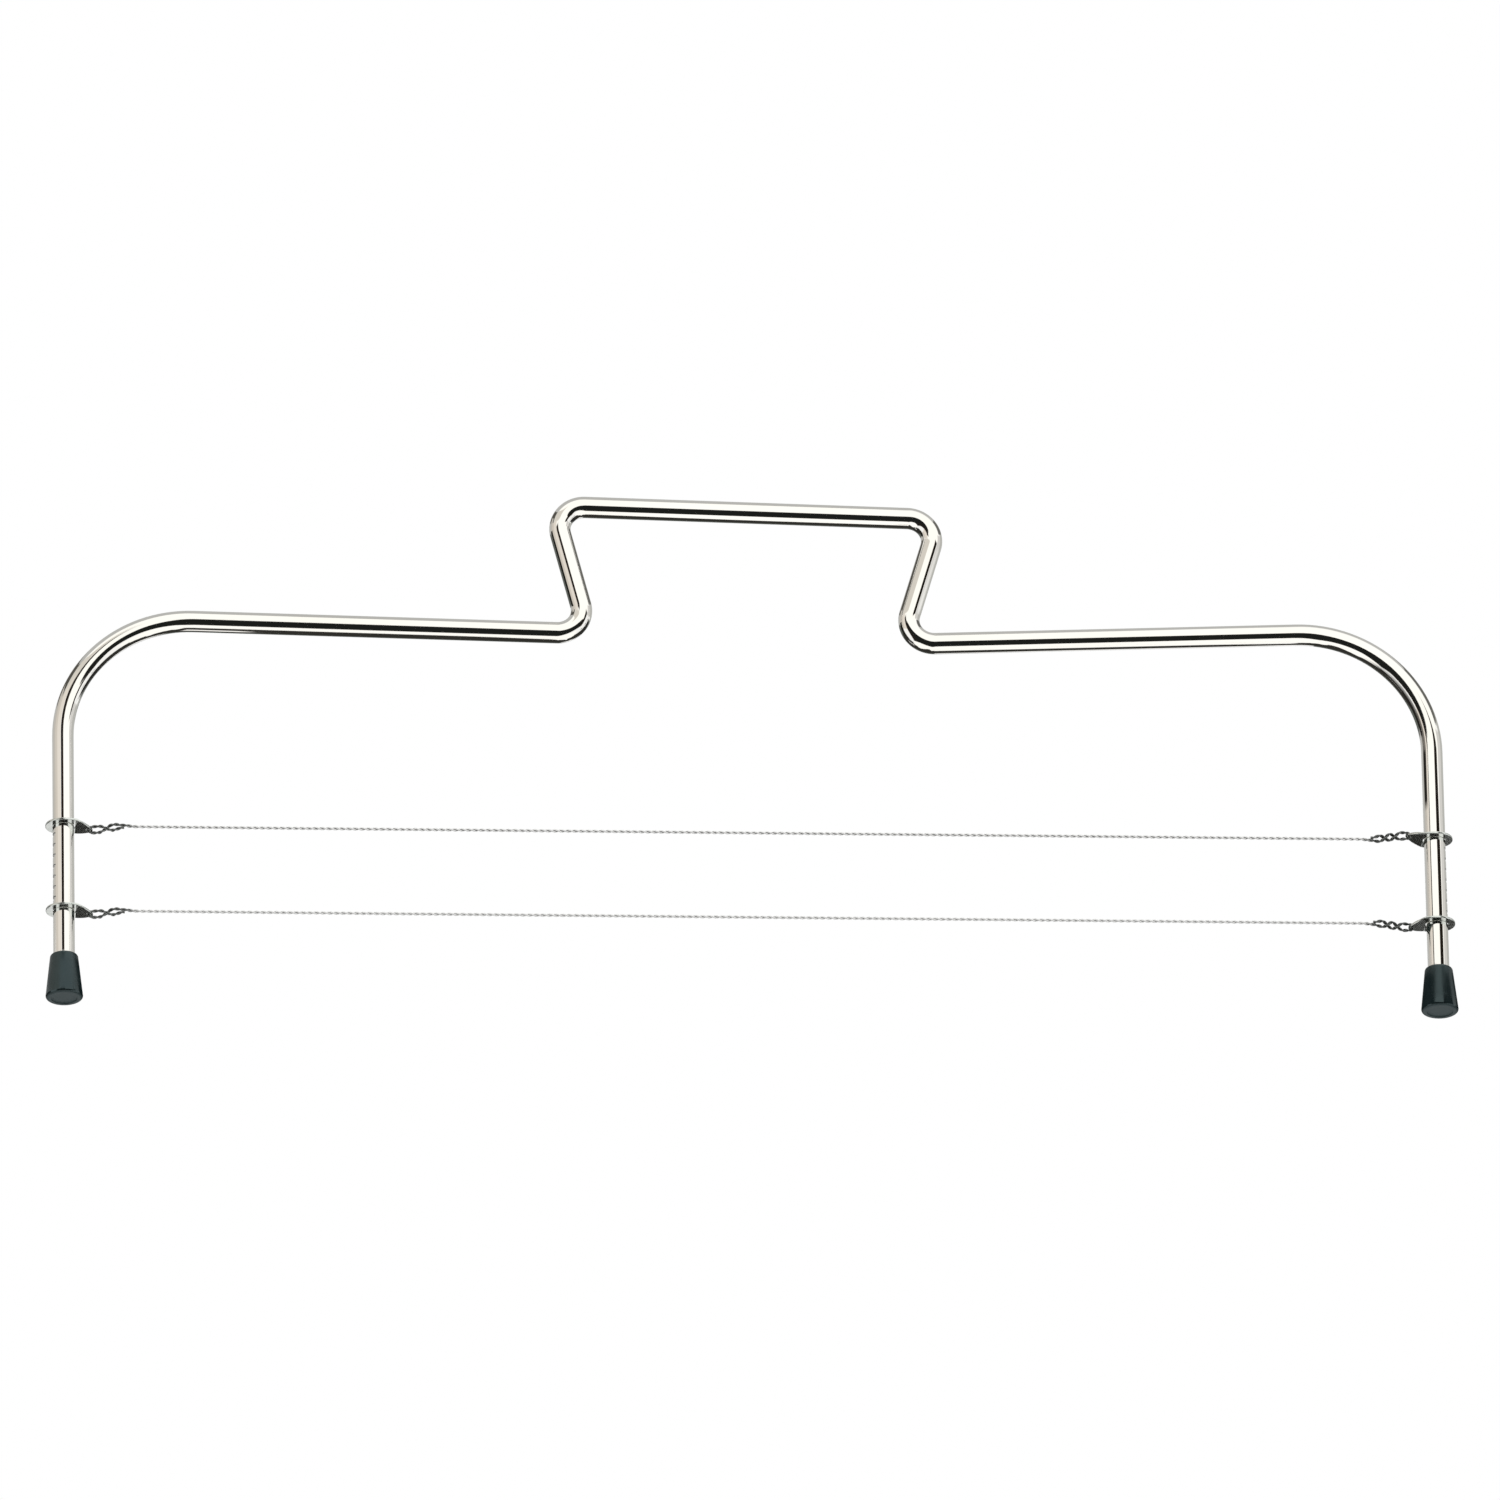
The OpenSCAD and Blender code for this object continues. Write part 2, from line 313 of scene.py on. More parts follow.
def mouldedRubber(p):
    material, start = newMaterial("mouldedRubber")
    place = objectPlace(start)
    grain, bloom = (noise(start, place, p[k]) for k in ("grain", "bloom"))
    worn = spread(start, bloom, p["bloomContrast"]) * p["mostWorn"]
    both = grain * p["grainShare"] + bloom * (1 - p["grainShare"])
    rough = spread(start, both, p["dullContrast"], p["roughness"])
    height = start.node("ShaderNodeSeparateXYZ", {}, {0: place}, "Z")
    rough = rough * spread(start, height, p["glossyEdge"], (p["edgeGloss"], 1.0))
    under = spread(start, height, p["wornHeight"], (1.0, 0.0))
    rough = rough * (1 - under) + under * p["wornRoughness"]
    principled(start, {
        "Base Color": blend(start, worn, p["body"], p["worn"]),
        "Roughness": rough,
        "Specular Tint": p["shine"],
        "Specular IOR Level": p["shineLevel"],
        "Normal": bump(start, grain + bloom * p["bloomRelief"], p["relief"]),
    })
    return material


materials = {
    "polished_rod": polishedRod(polish),
    "plate_steel": stampedPlate(dullPlate),
    "cutting_wire": strandMetal(drawnWire),
    "foot_rubber": mouldedRubber(rubber),
}
print("materials made:", ", ".join(m.name for m in materials.values()))


def newTree(name, sizes, counts):
    tree = bpy.data.node_groups.new(name, "GeometryNodeTree")
    kinds = {"Line": "NodeSocketGeometry"}
    kinds.update({size: "NodeSocketFloat" for size in sizes})
    kinds.update({count: "NodeSocketInt" for count in counts})
    kinds["Finish"] = "NodeSocketMaterial"
    for label, kind in kinds.items():
        tree.interface.new_socket(label, in_out="INPUT", socket_type=kind)
    tree.interface.new_socket("Piece", in_out="OUTPUT", socket_type="NodeSocketGeometry")
    inside = tree.nodes.new("NodeGroupInput")
    return tree, {s.name: Signal(tree, s) for s in inside.outputs if s.name}


def closeTree(given, mesh, crease):  # crease in degrees
    edgeAngle = mesh.node("GeometryNodeInputMeshEdgeAngle", {}, {}, "Unsigned Angle")
    sharp = mesh.node("FunctionNodeCompare", {"operation": "GREATER_THAN"}, {
        "A": edgeAngle, "B": math.radians(crease)})
    smooth = mesh.node("GeometryNodeSetShadeSmooth", {"domain": "FACE"}, {
        "Geometry": mesh, "Shade Smooth": True})
    creased = mesh.node("GeometryNodeSetShadeSmooth", {"domain": "EDGE"}, {
        "Geometry": smooth, "Selection": sharp, "Shade Smooth": False})
    plain = mesh.node("GeometryNodeRealizeInstances", {}, {"Geometry": creased})
    dressed = mesh.node("GeometryNodeSetMaterial", {}, {
        "Geometry": plain, "Material": given["Finish"]})
    mesh.node("NodeGroupOutput", {}, {0: dressed})


def vectorMath(start, operation, first, sockets=None, out="Vector"):
    return start.node("ShaderNodeVectorMath", {"operation": operation}, {0: first, **(sockets or {})}, out)


def storeOn(geometry, name, kind, value):
    return geometry.node("GeometryNodeStoreNamedAttribute", {"data_type": kind, "domain": "POINT"}, {
        "Geometry": geometry, "Name": name, "Value": value})


def stored(geometry, name, kind):
    return geometry.node("GeometryNodeInputNamedAttribute", {"data_type": kind}, {"Name": name})


def smoothMesh(shape, name, crease):  # turns a bmesh into a mesh, sharp past the crease in degrees
    mesh = bpy.data.meshes.new(name)
    shape.to_mesh(mesh)
    shape.free()
    for face in mesh.polygons:
        face.use_smooth = True
    mesh.set_sharp_from_angle(angle=math.radians(crease))
    return mesh


def grow(name, points, tree, sizes):
    line = bpy.data.meshes.new(name)
    line.from_pydata(points, [(i, i + 1) for i in range(len(points) - 1)], [])
    piece = addObject(name, line)
    modifier = piece.modifiers.new("grow", "NODES")
    modifier.node_group = tree
    for item in tree.interface.items_tree:
        if item.item_type == "SOCKET" and item.in_out == "INPUT" and item.name in sizes:
            modifier[item.identifier] = sizes[item.name]
    graph = bpy.context.evaluated_depsgraph_get()
    plain = bpy.data.meshes.new_from_object(
        piece.evaluated_get(graph), preserve_all_data_layers=True, depsgraph=graph)
    piece.modifiers.clear()
    piece.data = plain
    return piece


def settle(piece, body, nodes):
    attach(piece, body)
    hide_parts(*nodes)
    print("made", piece.name, "with", len(piece.data.polygons), "faces")


rod = {
    "thickness": 0.005,
    "legSpacing": 0.32,
    "shoulder": 0.0977,
    "shoulderDrop": 0.0037,
    "handleHeight": 0.1267,
    "handleWidth": 0.0908,
    "throatWidth": 0.073,
    "legBend": 0.03,
    "handleBend": 0.0058,
    "handleLean": 1.5,       # degrees, right side down
    "lowEnd": 0.003,
    "firstNotch": 0.0225,
    "notchCount": 9,
    "notchPitch": 0.0027,
    "notchWidth": 0.0008,
    "notchDepth": 0.0004,
    "bareContrast": 4,       # a notch looks bare from a quarter of its depth
    "straightStep": 0.0015,
    "bendStep": 3.0,         # degrees
    "notchStep": 15,         # degrees round a notch
    "sides": 48,
    "crease": 40,            # degrees
}


def leaned(r, x, z):  # a corner of the handle, turned about the handle's middle
    middle = (r["shoulder"] - r["shoulderDrop"] + r["handleHeight"]) / 2
    lean, rise = math.radians(r["handleLean"]), z - middle
    return Vector((
        x * math.cos(lean) + rise * math.sin(lean), 0,
        middle + rise * math.cos(lean) - x * math.sin(lean)))


def straight(points, end, step):
    start = points[-1]
    count = max(1, math.ceil((end - start).length / step))
    points.extend(start.lerp(end, i / count) for i in range(1, count + 1))


def rodCorners(r):  # from left foot to right
    legX, throat, bar = r["legSpacing"] / 2, r["shoulder"] - r["shoulderDrop"], r["handleHeight"]
    return [
        Vector((-legX, 0, r["lowEnd"])),
        Vector((-legX, 0, r["shoulder"])),
        leaned(r, -r["throatWidth"] / 2, throat),
        leaned(r, -r["handleWidth"] / 2, bar),
        leaned(r, r["handleWidth"] / 2, bar),
        leaned(r, r["throatWidth"] / 2, throat),
        Vector((legX, 0, r["shoulder"])),
        Vector((legX, 0, r["lowEnd"])),
    ]


def notchRings(r):  # heights of the rings that shape the notches
    turns = [math.radians(t) for t in range(-90, 91, r["notchStep"])]
    middles = [r["firstNotch"] + i * r["notchPitch"] for i in range(r["notchCount"])]
    return [middle + r["notchWidth"] / 2 * math.sin(t) for middle in middles for t in turns]


def rodLine(r):
    legX, step = r["legSpacing"] / 2, r["straightStep"]
    corners, rings = rodCorners(r), notchRings(r)
    bends = [r["legBend"]] + [r["handleBend"]] * 4 + [r["legBend"]]
    points = [corners[0]]
    for z in rings:
        straight(points, Vector((-legX, 0, z)), step)
    for before, here, after, bend in zip(corners, corners[1:], corners[2:], bends):
        inward, outward = (here - before).normalized(), (after - here).normalized()
        turn = inward.angle(outward)
        reach = bend * math.tan(turn / 2)
        straight(points, here - inward * reach, step)
        toMiddle = (outward - inward).normalized()
        middle = here + toMiddle * (bend / math.cos(turn / 2))
        axis = inward.cross(outward).normalized()
        count = math.ceil(math.degrees(turn) / r["bendStep"])
        spoke = points[-1] - middle
        points.extend(
            middle + Matrix.Rotation(turn * i / count, 3, axis) @ spoke for i in range(1, count + 1))
    for z in reversed(rings):
        straight(points, Vector((legX, 0, z)), step)
    straight(points, corners[-1], step)
    return points


def rodTree(r):
    tree, given = newTree(
        "bentRodWithNotches",
        ["Thickness", "Leg Spacing", "First Notch", "Notch Pitch", "Notch Width", "Notch Depth"],
        ["Sides", "Notch Count"])
    radius = given["Thickness"] / 2
    line = given["Line"].node("GeometryNodeMeshToCurve", {}, {"Mesh": given["Line"]})
    line = storeOn(line, "along", "FLOAT", line.node("GeometryNodeSplineParameter", {}, {}, "Length"))
    ring = line.node("GeometryNodeCurvePrimitiveCircle", {}, {
        "Resolution": given["Sides"], "Radius": radius})
    ring = storeOn(ring, "around", "FLOAT", line.node("GeometryNodeSplineParameter", {}, {}, "Factor"))
    tube = line.node("GeometryNodeCurveToMesh", {}, {
        "Curve": line, "Profile Curve": ring, "Fill Caps": True})

    # Each point's place as if the rod were never bent, for its finish
    angle = stored(tube, "around", "FLOAT") * (2 * math.pi)
    unbent = tube.node("ShaderNodeCombineXYZ", {}, {
        "X": mathOf(tube, "COSINE", angle) * radius,
        "Y": mathOf(tube, "SINE", angle) * radius,
        "Z": stored(tube, "along", "FLOAT")})
    tube = storeOn(tube, "rodPlace", "FLOAT_VECTOR", unbent)

    # Points outside the round floor of the nearest notch move in onto it
    place = tube.node("GeometryNodeInputPosition")
    x = tube.node("ShaderNodeSeparateXYZ", {}, {0: place}, "X")
    z = x.also("Z")
    first, pitch, half = given["First Notch"], given["Notch Pitch"], given["Notch Width"] / 2
    nearest = mathOf(tube, "ROUND", (z - first) / pitch)
    nearest = mathOf(tube, "MINIMUM", mathOf(tube, "MAXIMUM", nearest, 0.0), given["Notch Count"] - 1.0)
    aside = z - first - nearest * pitch
    bulge = mathOf(tube, "SQRT", mathOf(tube, "MAXIMUM", half * half - aside * aside, 0.0))
    floor = given["Leg Spacing"] / 2 + radius + half - given["Notch Depth"] - bulge
    within = mathOf(tube, "LESS_THAN", mathOf(tube, "ABSOLUTE", aside), half)
    past = mathOf(tube, "MAXIMUM", mathOf(tube, "ABSOLUTE", x) - floor, 0.0) * within
    bare = tube.node("ShaderNodeClamp", {}, {0: past / given["Notch Depth"] * r["bareContrast"]})
    shift = tube.node("ShaderNodeCombineXYZ", {}, {"X": past * mathOf(tube, "SIGN", x) * -1.0})
    tube = storeOn(tube, "cut", "FLOAT", bare)
    tube = tube.node("GeometryNodeSetPosition", {}, {"Geometry": tube, "Offset": shift})
    closeTree(given, tube, r["crease"])
    return tree


rodPiece = grow("bent_rod", rodLine(rod), rodTree(rod), {
    "Thickness": rod["thickness"],
    "Leg Spacing": rod["legSpacing"],
    "First Notch": rod["firstNotch"],
    "Notch Pitch": rod["notchPitch"],
    "Notch Width": rod["notchWidth"],
    "Notch Depth": rod["notchDepth"],
    "Sides": rod["sides"],
    "Notch Count": rod["notchCount"],
    "Finish": materials["polished_rod"],
})
settle(rodPiece, "frame", ["frame_rod"])


plate = {
    "thickness": 0.0005,
    "tongue": 0.0043,        # beyond the rod's surface
    "tongueBend": 14.0,      # degrees
    "bendRadius": 0.001,
    "bendGap": 0.0002,
    "eyeRim": 0.0004,
    # left and right: 1 where the tongue drops, -1 where it rises
    "ways": {"upper": (1, -1), "lower": (1, 1)},
    "mergeWithin": 0.000001,
    "flatWithin": 1,         # degrees between triangles of one face
    "softFrom": 40,          # degrees: sharper edges are softened
    "softEdge": 0.00007,
    "softSteps": 2,
    "softProfile": 0.5,      # round
    "crease": 35,            # degrees
}


def softenedCopy(node, name, p):
    shape = bmesh.new()
    shape.from_mesh(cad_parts[node].data)
    bmesh.ops.remove_doubles(shape, verts=shape.verts, dist=p["mergeWithin"])
    bmesh.ops.dissolve_limit(
        shape, angle_limit=math.radians(p["flatWithin"]), verts=shape.verts, edges=shape.edges)
    softFrom = math.radians(p["softFrom"])
    sharp = [e for e in shape.edges if e.is_manifold and e.calc_face_angle() > softFrom]
    bmesh.ops.bevel(
        shape, geom=sharp, offset=p["softEdge"], segments=p["softSteps"],
        profile=p["softProfile"], affect="EDGES")
    piece = addObject(name, smoothMesh(shape, name, p["crease"]))
    weighted = piece.modifiers.new("flatFaces", "WEIGHTED_NORMAL")
    weighted.keep_sharp = True
    piece.data.materials.append(materials["plate_steel"])
    return piece


for level in ("upper", "lower"):
    for side in ("left", "right"):
        node = f"{level}_{side}_plate"
        piece = softenedCopy(node, f"{node}_stamped", plate)
        settle(piece, f"{level}_cutter", [node])


wire = {
    "strand": 0.0004,
    "lay": 0.0031,
    "strandCount": 2,
    "eyeGap": 0.00005,
    "loopLength": (0.0075, 0.0084),
    "loopTurns": (0.75, 1.25),
    "loopSpread": 0.00062,
    "settle": 0.0025,
    "loopStep": 0.0003,
    "straightSteps": 4,      # loop steps in a step of the straight run
    "leastSteps": 3,
    "ringStep": 0.00026,
    "sides": 9,
    "crease": 60,            # degrees
    "heights": {"upper": 0.0441, "lower": 0.0225},
    "grooveShadeShift": {"upper": 0.0, "lower": 0.1},   # how much deeper in the groove the painted shade starts
}


def eyeTurn(w, p, way):  # where the wire turns round the eye's rim: reach, height and radius
    bend = math.radians(p["tongueBend"])
    turnR = math.hypot(p["eyeRim"], p["thickness"]) / 2 + w["strand"] + w["eyeGap"]
    turnU = rod["thickness"] / 2 + p["tongue"] - p["eyeRim"] / 2
    bendU = rod["thickness"] / 2 + p["bendGap"] + p["bendRadius"] * math.sin(bend)
    drop = p["bendRadius"] * (1 - math.cos(bend)) + (turnU - bendU) * math.tan(bend)
    return turnU, -way * drop, turnR


def ease(f):
    return f * f * (3 - 2 * f)


def wireEnd(w, p, length, turns, way):  # from the tail's end, through the eye, to the straight run
    turnU, turnW, turnR = eyeTurn(w, p, way)

    def loopPoint(f, start):
        spreadR = turnR + (w["loopSpread"] - turnR) * ease(f)
        angle = start - math.pi / 2 + 2 * math.pi * turns * ease(f)
        return Vector((
            turnU + f * length,
            spreadR * math.cos(angle),
            turnW * (1 - ease(f)) + spreadR * math.sin(angle)))

    def steps(reach):
        return max(w["leastSteps"], math.ceil(reach / w["loopStep"]))

    twist = steps(math.hypot(length, 2 * math.pi * w["loopSpread"] * turns))
    around = steps(math.pi * turnR)
    last = steps(w["settle"])
    leave = 2 * math.pi * turns - math.pi / 2
    points = [loopPoint(i / twist, math.pi) for i in range(twist, -1, -1)]
    for i in range(1, around):
        a = math.pi * i / around
        points.append(Vector((turnU - turnR * math.sin(a), 0, turnW + turnR * math.cos(a))))
    points += [loopPoint(i / twist, 0) for i in range(twist + 1)]
    for i in range(1, last + 1):
        off = w["loopSpread"] * (1 - ease(i / last))
        points.append(Vector((
            turnU + length + i / last * w["settle"], off * math.cos(leave), off * math.sin(leave))))
    return points


def wireLine(w, p, height, ways):
    legX = rod["legSpacing"] / 2
    left, right = (wireEnd(w, p, w["loopLength"][i], w["loopTurns"][i], ways[i]) for i in (0, 1))
    points = [Vector((q.x - legX, q.y, q.z)) for q in left]
    far = [Vector((legX - q.x, q.y, q.z)) for q in right]
    straight(points, far[-1], w["loopStep"] * w["straightSteps"])
    points += reversed(far[:-1])
    return [q + Vector((0, 0, height)) for q in points]


def wireTree(w):
    tree, given = newTree("twistedWire", ["Strand", "Lay", "Ring Step", "Groove Shade Shift"], ["Sides"])
    radius = given["Strand"] / 2
    line = given["Line"].node("GeometryNodeMeshToCurve", {}, {"Mesh": given["Line"]})
    line = line.node("GeometryNodeResampleCurve", {"mode": "LENGTH"}, {
        "Curve": line, "Length": given["Ring Step"]})
    line = storeOn(line, "middleLine", "FLOAT_VECTOR", line.node("GeometryNodeInputPosition"))
    ring = line.node("GeometryNodeCurvePrimitiveCircle", {}, {
        "Resolution": given["Sides"], "Radius": radius})

    # The strands run beside the middle line, up and across it by turns
    tangent = line.node("GeometryNodeInputTangent")
    up = vectorMath(line, "NORMALIZE", vectorMath(line, "CROSS_PRODUCT", tangent, {1: (0, 1, 0)}))
    across = vectorMath(line, "CROSS_PRODUCT", tangent, {1: up})
    turns = line.node("GeometryNodeSplineParameter", {}, {}, "Length") / given["Lay"]
    both = line.node("GeometryNodeJoinGeometry")
    for i in range(w["strandCount"]):
        angle = (turns + i / w["strandCount"]) * (2 * math.pi)
        upShare = vectorMath(line, "SCALE", up, {"Scale": mathOf(line, "COSINE", angle) * radius})
        acrossShare = vectorMath(line, "SCALE", across, {"Scale": mathOf(line, "SINE", angle) * radius})
        moved = line.node("GeometryNodeSetPosition", {}, {
            "Geometry": line, "Offset": vectorMath(line, "ADD", upShare, {1: acrossShare})})
        strand = line.node("GeometryNodeCurveToMesh", {}, {
            "Curve": moved, "Profile Curve": ring, "Fill Caps": True})
        tree.links.new(strand.socket, both.socket.node.inputs[0])

    middle = stored(both, "middleLine", "FLOAT_VECTOR")
    place = both.node("GeometryNodeInputPosition")
    gap = vectorMath(both, "DISTANCE", place, {1: middle}, "Value")
    # 1 where the strands touch, 0 on their outsides: this places the painted shade in the groove, held
    # back by the shift
    both = storeOn(both, "groove", "FLOAT", 1 - gap / given["Strand"])
    both = storeOn(both, "grooveShadeShift", "FLOAT", given["Groove Shade Shift"])
    both = both.node("GeometryNodeRemoveAttribute", {}, {"Geometry": both, "Name": "middleLine"})
    closeTree(given, both, w["crease"])
    return tree


twist = wireTree(wire)
for level, height in wire["heights"].items():
    line = wireLine(wire, plate, height, plate["ways"][level])
    piece = grow(f"{level}_twisted_wire", line, twist, {
        "Strand": wire["strand"],
        "Lay": wire["lay"],
        "Ring Step": wire["ringStep"],
        "Groove Shade Shift": wire["grooveShadeShift"][level],
        "Sides": wire["sides"],
        "Finish": materials["cutting_wire"],
    })
    settle(piece, f"{level}_cutter", [f"{level}_wire"])


foot = {
    "height": 0.011,
    "wall": 0.0008,
    "flare": 0.00105,
    "floor": 0.003,
    "edge": 0.0007,
    "topEdge": 0.85,         # of the wall's thickness
    "mouth": 0.0001,         # how far the bore's edge lies below the top
    "dish": 0.00025,
    "dishRing": 0.6,         # of the dish's radius: a ring of points on its flat
    "ring": 0.0006,
    "edgeSteps": 8,
    "dishSteps": 4,
    "sides": 96,
    "crease": 50,            # degrees
}


def arc(middle, radius, start, end, steps):
    angles = (math.radians(start + (end - start) * i / steps) for i in range(steps + 1))
    return [(middle[0] + radius * math.cos(a), middle[1] + radius * math.sin(a)) for a in angles]


def footSection(f):  # radius and height, from the middle of the underside to the middle of the bore
    rodR = rod["thickness"] / 2
    topR = rodR + f["wall"]
    baseR = topR + f["flare"]
    topEdge = f["wall"] * f["topEdge"]
    dishR = baseR - f["edge"] - f["ring"]
    section = [(0, f["dish"]), (dishR * f["dishRing"], f["dish"])]
    section += arc((dishR - f["dish"], 0), f["dish"], 90, 0, f["dishSteps"])
    section += arc((baseR - f["edge"], f["edge"]), f["edge"], -90, 0, f["edgeSteps"])
    section += arc((topR - topEdge, f["height"] - topEdge), topEdge, 0, 90, f["edgeSteps"])
    section += [(rodR, f["height"] - f["mouth"]), (rodR, f["floor"]), (0, f["floor"])]
    return section


def turnedPiece(name, section, f, middle):
    shape = bmesh.new()
    sides = f["sides"]
    turns = [2 * math.pi * i / sides for i in range(sides)]
    rings = []
    for radius, height in section:
        spokes = turns if radius > 0 else [0]   # a single point on the axis
        rings.append([
            shape.verts.new((middle.x + radius * math.cos(t), middle.y + radius * math.sin(t), height))
            for t in spokes])
    for lower, upper in zip(rings, rings[1:]):
        for i in range(sides):
            j = (i + 1) % sides
            corners = [
                lower[i % len(lower)], lower[j % len(lower)],
                upper[j % len(upper)], upper[i % len(upper)]]
            shape.faces.new(list(dict.fromkeys(corners)))
    bmesh.ops.recalc_face_normals(shape, faces=shape.faces)
    return addObject(name, smoothMesh(shape, name, f["crease"]))


for side, sign in (("left", -1), ("right", 1)):
    middle = Vector((sign * rod["legSpacing"] / 2, 0, 0))
    piece = turnedPiece(f"{side}_rubber_foot", footSection(foot), foot, middle)
    piece.data.materials.append(materials["foot_rubber"])
    settle(piece, "frame", [f"{side}_foot"])


# Plain cards that show only in reflections. Turns are in degrees from straight in front.
# A band curves about a level line: each of its edges gives x and the two turns, upwards, that it spans.
# A wall curves about an upright line: it spans two turns to the right, and two rises above level.
# A screen is flat and upright, square to the y axis.
bands = {
    "lightAbove": {
        "edges": ((-3, -8, 74), (3, -8, 74)),
        "away": 1.6, "soft": 0.1, "shade": (1.12, 1.11, 1.07)},
    "lightBelow": {
        "edges": ((-2, -112, -50), (2, -112, -50)),
        "away": 1.6, "soft": 0.1, "shade": (1.12, 1.11, 1.08)},
    "flagUnderLens": {
        "edges": (
            (-1.75, -64, 24), (-1.37, -58, 30), (-0.79, -50, 23), (-0.5, -54, 19), (-0.21, -60, 11),
            (-0.05, -65, 2), (0.09, -64, -4), (0.165, -59, -1), (0.22, -60, -1), (0.74, -46, 6),
            (1.19, -38, 8), (1.75, -32, 6), (2.15, -30, -8)),
        "away": 1.5, "soft": 0.03, "shade": (0.012, 0.013, 0.012)},
    "flagBehindBelow": {
        "edges": (
            (-1.6, -182, -118), (-0.3, -182, -116), (-0.13, -165, -96), (-0.04, -165, -96),
            (-0.02, -163, -107), (0.02, -163, -113), (0.05, -162, -108), (0.1, -160, -112),
            (0.13, -160, -112), (0.15, -160, -115), (0.2, -160, -117), (0.225, -155, -132),
            (0.3, -160, -112), (2.0, -172, -120)),
        "away": 0.7, "soft": 0.02, "shade": (0.03, 0.029, 0.026), "steps": 144},
    "greyBehindAbove": {
        "edges": ((-2.5, 78, 158), (-0.1, 72, 158), (0.08, 66, 158), (0.25, 80, 158), (2.5, 80, 158)),
        "away": 1.6, "soft": 0.03, "shade": (0.5, 0.5, 0.49)},
    "greyBehind": {
        "edges": ((-2.5, -204, -150), (0.14, -204, -150), (0.18, -204, -185), (2.5, -204, -185)),
        "away": 1.6, "soft": 0.05, "shade": (0.12, 0.13, 0.12)},
}
walls = {
    "warmWall": {
        "about": (-0.16, 0, 0.04), "turn": (-66, -27), "rise": (8, 46),
        "away": 0.39, "soft": 0.03, "shade": (0.8, 0.745, 0.68)},
    "warmCorner": {
        "about": (-0.16, 0, 0.04), "turn": (-95, -63), "rise": (8, 46),
        "away": 0.395, "soft": 0.05, "shade": (0.66, 0.61, 0.55)},
    "warmSide": {
        "about": (-0.16, 0, 0.04), "turn": (-126, -93), "rise": (22.5, 46),
        "away": 1.0, "soft": 0.03, "shade": (0.55, 0.52, 0.48)},
    "coolWall": {
        "about": (0.16, 0, 0.04), "turn": (62, 104), "rise": (12, 34),
        "away": 1.25, "soft": 0.06, "shade": (0.68, 0.67, 0.655)},
    "greyWall": {
        "about": (0.16, 0, 0.04), "turn": (100, 165), "rise": (12, 46),
        "away": 1.3, "soft": 0.06, "shade": (0.5, 0.5, 0.48)},
    "darkSideLeft": {
        "about": (0, 0, 0.1), "turn": (-152, -90), "rise": (-50, 22),
        "away": 3.0, "soft": 0.03, "shade": (0.015, 0.015, 0.013)},
    "darkSideRight": {
        "about": (0, 0, 0.1), "turn": (100, 160), "rise": (-50, 7),
        "away": 1.5, "soft": 0.05, "shade": (0.02, 0.02, 0.02)},
    "warmHigh": {
        "about": (0.04, 0, 0.1), "turn": (-80, -13), "rise": (30, 52),
        "away": 1.2, "soft": 0.06, "shade": (0.7, 0.665, 0.61)},
    "darkHighLeft": {
        "about": (0, 0, 0.1), "turn": (-152, -78), "rise": (30, 56),
        "away": 1.25, "soft": 0.05, "shade": (0.09, 0.085, 0.075)},
    "darkHighRight": {
        "about": (0, 0, 0.1), "turn": (82, 152), "rise": (30, 56),
        "away": 1.25, "soft": 0.05, "shade": (0.14, 0.14, 0.13)},
    "darkInsideRight": {
        "about": (0.16, 0, 0.07), "turn": (-113, -66), "rise": (-18.8, 19.8),
        "away": 0.025, "soft": 0.15, "shade": (0.02, 0.018, 0.016)},
    "lightBehindLeft": {
        "about": (-0.157, 0, 0.03), "turn": (158, 184.5), "rise": (-42, -8),
        "away": 0.12, "soft": 0.08, "shade": (1.0, 0.98, 0.97)},
    # close round the feet
    "darkLeftOfRightFoot": {
        "about": (0.16, 0, 0), "turn": (-150, -24), "rise": (-12, 53),
        "away": 0.012, "soft": 0.1, "shade": (0.012, 0.02, 0.02)},
    "darkRightOfRightFoot": {
        "about": (0.16, 0, 0), "turn": (30, 72), "rise": (-12, 53),
        "away": 0.012, "soft": 0.1, "shade": (0.012, 0.02, 0.02)},
    "darkEdgeOfRightFoot": {
        "about": (0.16, 0, 0), "turn": (98, 150), "rise": (-12, 53),
        "away": 0.012, "soft": 0.1, "shade": (0.012, 0.02, 0.02)},
    "lightBeforeLeftFoot": {
        "about": (-0.16, 0, 0), "turn": (-34, 50), "rise": (15, 53),
        "away": 0.012, "soft": 0.14, "shade": (1.0, 1.0, 1.0)},
    "darkEdgeOfLeftFoot": {
        "about": (-0.16, 0, 0), "turn": (80, 150), "rise": (-12, 53),
        "away": 0.012, "soft": 0.1, "shade": (0.012, 0.02, 0.02)},
    "lightUnderLeftFoot": {
        "about": (-0.16, 0, 0), "turn": (130, 240), "rise": (-66, -6),
        "away": 0.02, "soft": 0.1, "shade": (1.0, 1.0, 1.0)},
    "lightUnderRightFoot": {
        "about": (0.16, 0, 0), "turn": (130, 240), "rise": (-66, -6),
        "away": 0.02, "soft": 0.1, "shade": (1.0, 1.0, 1.0)},
}
screens = {
    "leftStand": {
        "x": (-0.289, -0.147), "y": -0.276, "z": (-0.1, 0.29),
        "soft": 0.05, "shade": (0.02, 0.015, 0.012)},
    "rightStand": {
        "x": (0.25, 0.56), "y": -0.28, "z": (-0.1, 0.27),
        "soft": 0.04, "shade": (0.015, 0.012, 0.009)},
}
cardDefaults = {
    "bandHeight": 0.1,   # of the level line that the bands curve about
    "steps": 48,         # each way, where a card doesn't give its own
    "slack": 1e-9,       # metres, so that rounding loses no edge
}


def between(span, share):
    return span[0] + (span[1] - span[0]) * share


